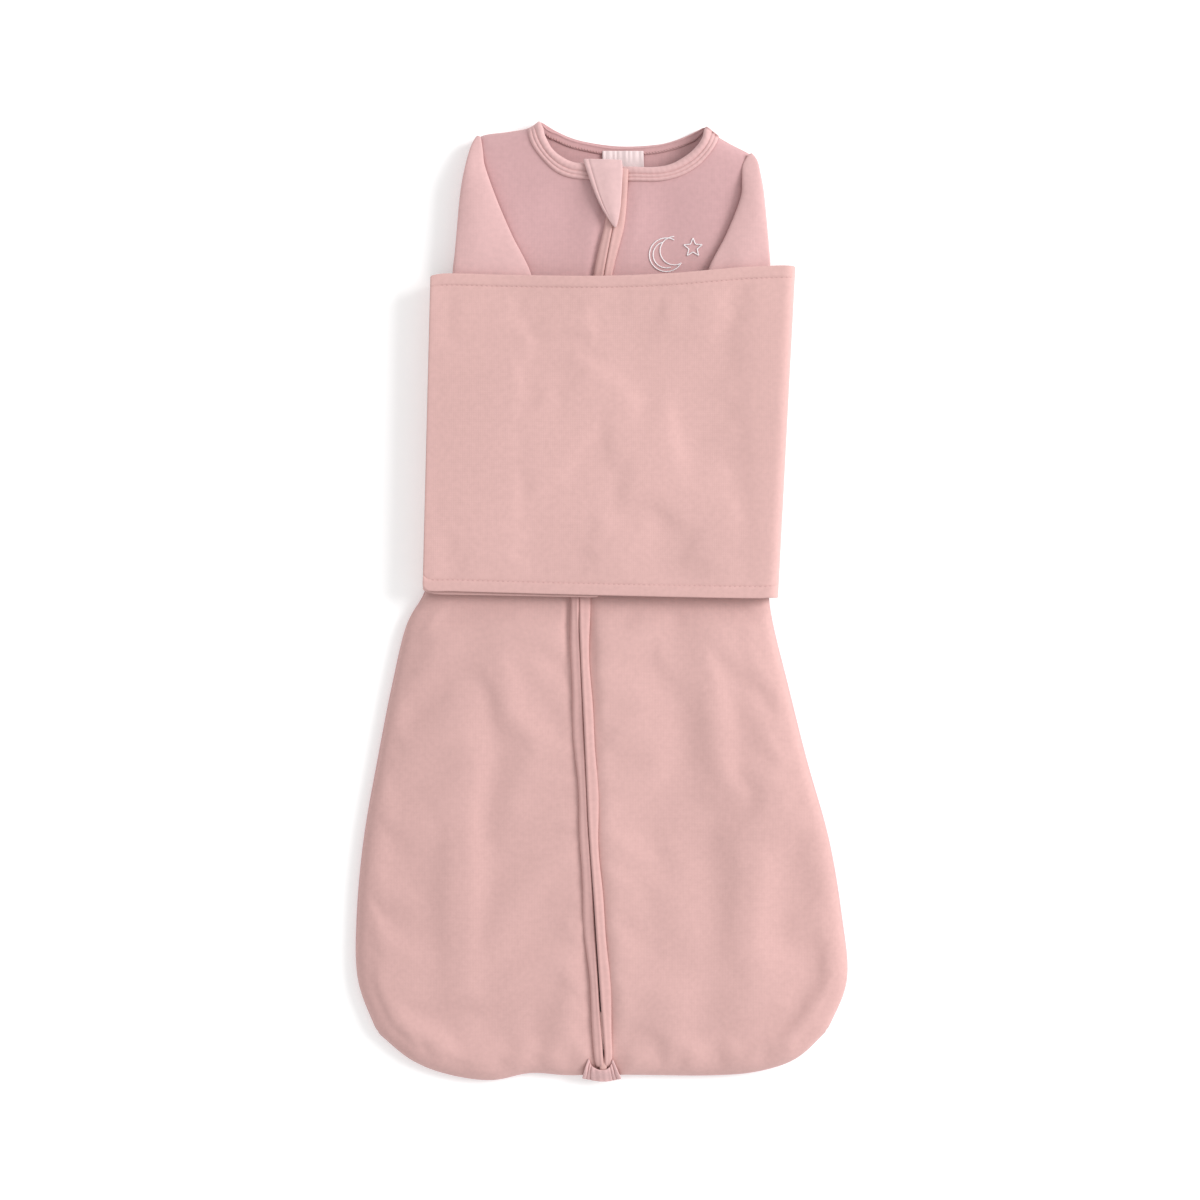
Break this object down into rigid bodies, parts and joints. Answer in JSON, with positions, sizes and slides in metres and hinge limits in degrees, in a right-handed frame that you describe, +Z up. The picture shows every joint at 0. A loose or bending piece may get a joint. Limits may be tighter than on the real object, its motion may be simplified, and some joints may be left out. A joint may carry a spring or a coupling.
{
  "type": "baby sleeping bag",
  "caption": "Infant sleeping bag with a zip front, sleeves and a wrap-around swaddle band, lying closed on its back.",
  "frame": {"origin": "on the supporting surface under the middle of the bag, which lies on its back", "axes": "+X to the wearer's left, +Y to the head, +Z up out of the front"},
  "size_m": [0.331, 0.65, 0.024],
  "materials": {
    "bag_fabric": "matte",
    "band_fabric": "matte",
    "sleeve_fabric": "matte",
    "binding_fabric": "matte",
    "label_fabric": "satin",
    "zip_tape": "matte",
    "zip_coil": "satin",
    "zip_metal": "gloss",
    "hook_tape": "matte",
    "loop_tape": "matte",
    "thread": "satin"
  },
  "bodies": {
    "bag": {"back_panel": "bag_fabric", "front_panel_left": "bag_fabric", "front_panel_right": "bag_fabric", "side_seam_left": "bag_fabric", "side_seam_right": "bag_fabric", "hem_seam": "bag_fabric", "shoulder_seam_left": "bag_fabric", "shoulder_seam_right": "bag_fabric", "sleeve_left": "sleeve_fabric", "sleeve_right": "sleeve_fabric", "cuff_left": "sleeve_fabric", "cuff_right": "sleeve_fabric", "neck_binding_left": "binding_fabric", "neck_binding_right": "binding_fabric", "neck_tape": "binding_fabric", "zip_tape_left": "zip_tape", "zip_tape_right": "zip_tape", "zip_coil_left": "zip_coil", "zip_coil_right": "zip_coil", "top_stops": "zip_metal", "bottom_stop": "zip_metal", "zip_lip_left": "bag_fabric", "zip_lip_right": "bag_fabric", "hem_tab": "bag_fabric", "chest_moon": "thread", "chest_star": "thread", "band_back": "band_fabric", "band_fold_left": "band_fabric", "band_fold_right": "band_fabric"},
    "outer_wing": {"outer_wing": "band_fabric", "hook_tape": "hook_tape"},
    "inner_wing": {"inner_wing": "band_fabric", "loop_tape": "loop_tape"},
    "garage_flap": {"garage_flap": "bag_fabric"},
    "neck_label": {"neck_label": "label_fabric"},
    "top_slider": {"top_slider": "zip_metal"},
    "top_pull": {"top_pull": "zip_metal"},
    "bottom_slider": {"bottom_slider": "zip_metal"},
    "bottom_pull": {"bottom_pull": "zip_metal"}
  },
  "joints": [
    {"name": "outer_wing_open", "type": "hinge", "parent": "bag", "child": "outer_wing", "pos_m": [0.1135, 0.002, 0.012], "axis": [0.0517, 0.9987, 0], "range_deg": [0, 180], "deforming": ["band_fold_left"]},
    {"name": "inner_wing_open", "type": "hinge", "parent": "bag", "child": "inner_wing", "pos_m": [-0.1155, 0.008, 0.01035], "axis": [-0.0264, -0.9997, 0], "range_deg": [0, 175], "deforming": ["band_fold_right"]},
    {"name": "garage_flap_lift", "type": "hinge", "parent": "bag", "child": "garage_flap", "pos_m": [0.0007, 0.295, 0.017], "axis": [-1, 0, 0], "range_deg": [0, 165]},
    {"name": "neck_label_lift", "type": "hinge", "parent": "bag", "child": "neck_label", "pos_m": [0.0135, 0.305, 0.0024], "axis": [-1, 0, 0], "range_deg": [0, 150]},
    {"name": "top_slider_run", "type": "hinge", "parent": "bag", "child": "top_slider", "pos_m": [2.03502, -0.04102, 0.0147], "axis": [0, 0, 1], "range_deg": [0, 9.38]},
    {"name": "top_pull_lift", "type": "hinge", "parent": "top_slider", "child": "top_pull", "pos_m": [0.00943, 0.2745, 0.0147], "axis": [-0.9881, 0.1539, 0], "range_deg": [0, 83]},
    {"name": "bottom_slider_run", "type": "hinge", "parent": "bag", "child": "bottom_slider", "pos_m": [2.03502, -0.04102, 0.0147], "axis": [0, 0, -1], "range_deg": [0, 5.01]},
    {"name": "bottom_pull_lift", "type": "hinge", "parent": "bottom_slider", "child": "bottom_pull", "pos_m": [0.00123, -0.2985, 0.0147], "axis": [0.9921, 0.1256, 0], "range_deg": [0, 150]}
  ],
  "couplings": [
    {"joint": "inner_wing_open", "follows": "outer_wing_open", "ratio": 0.97},
    {"joint": "top_slider_run", "follows": "outer_wing_open", "ratio": 0.052059},
    {"joint": "garage_flap_lift", "follows": "top_pull_lift", "ratio": 1.98}
  ]
}
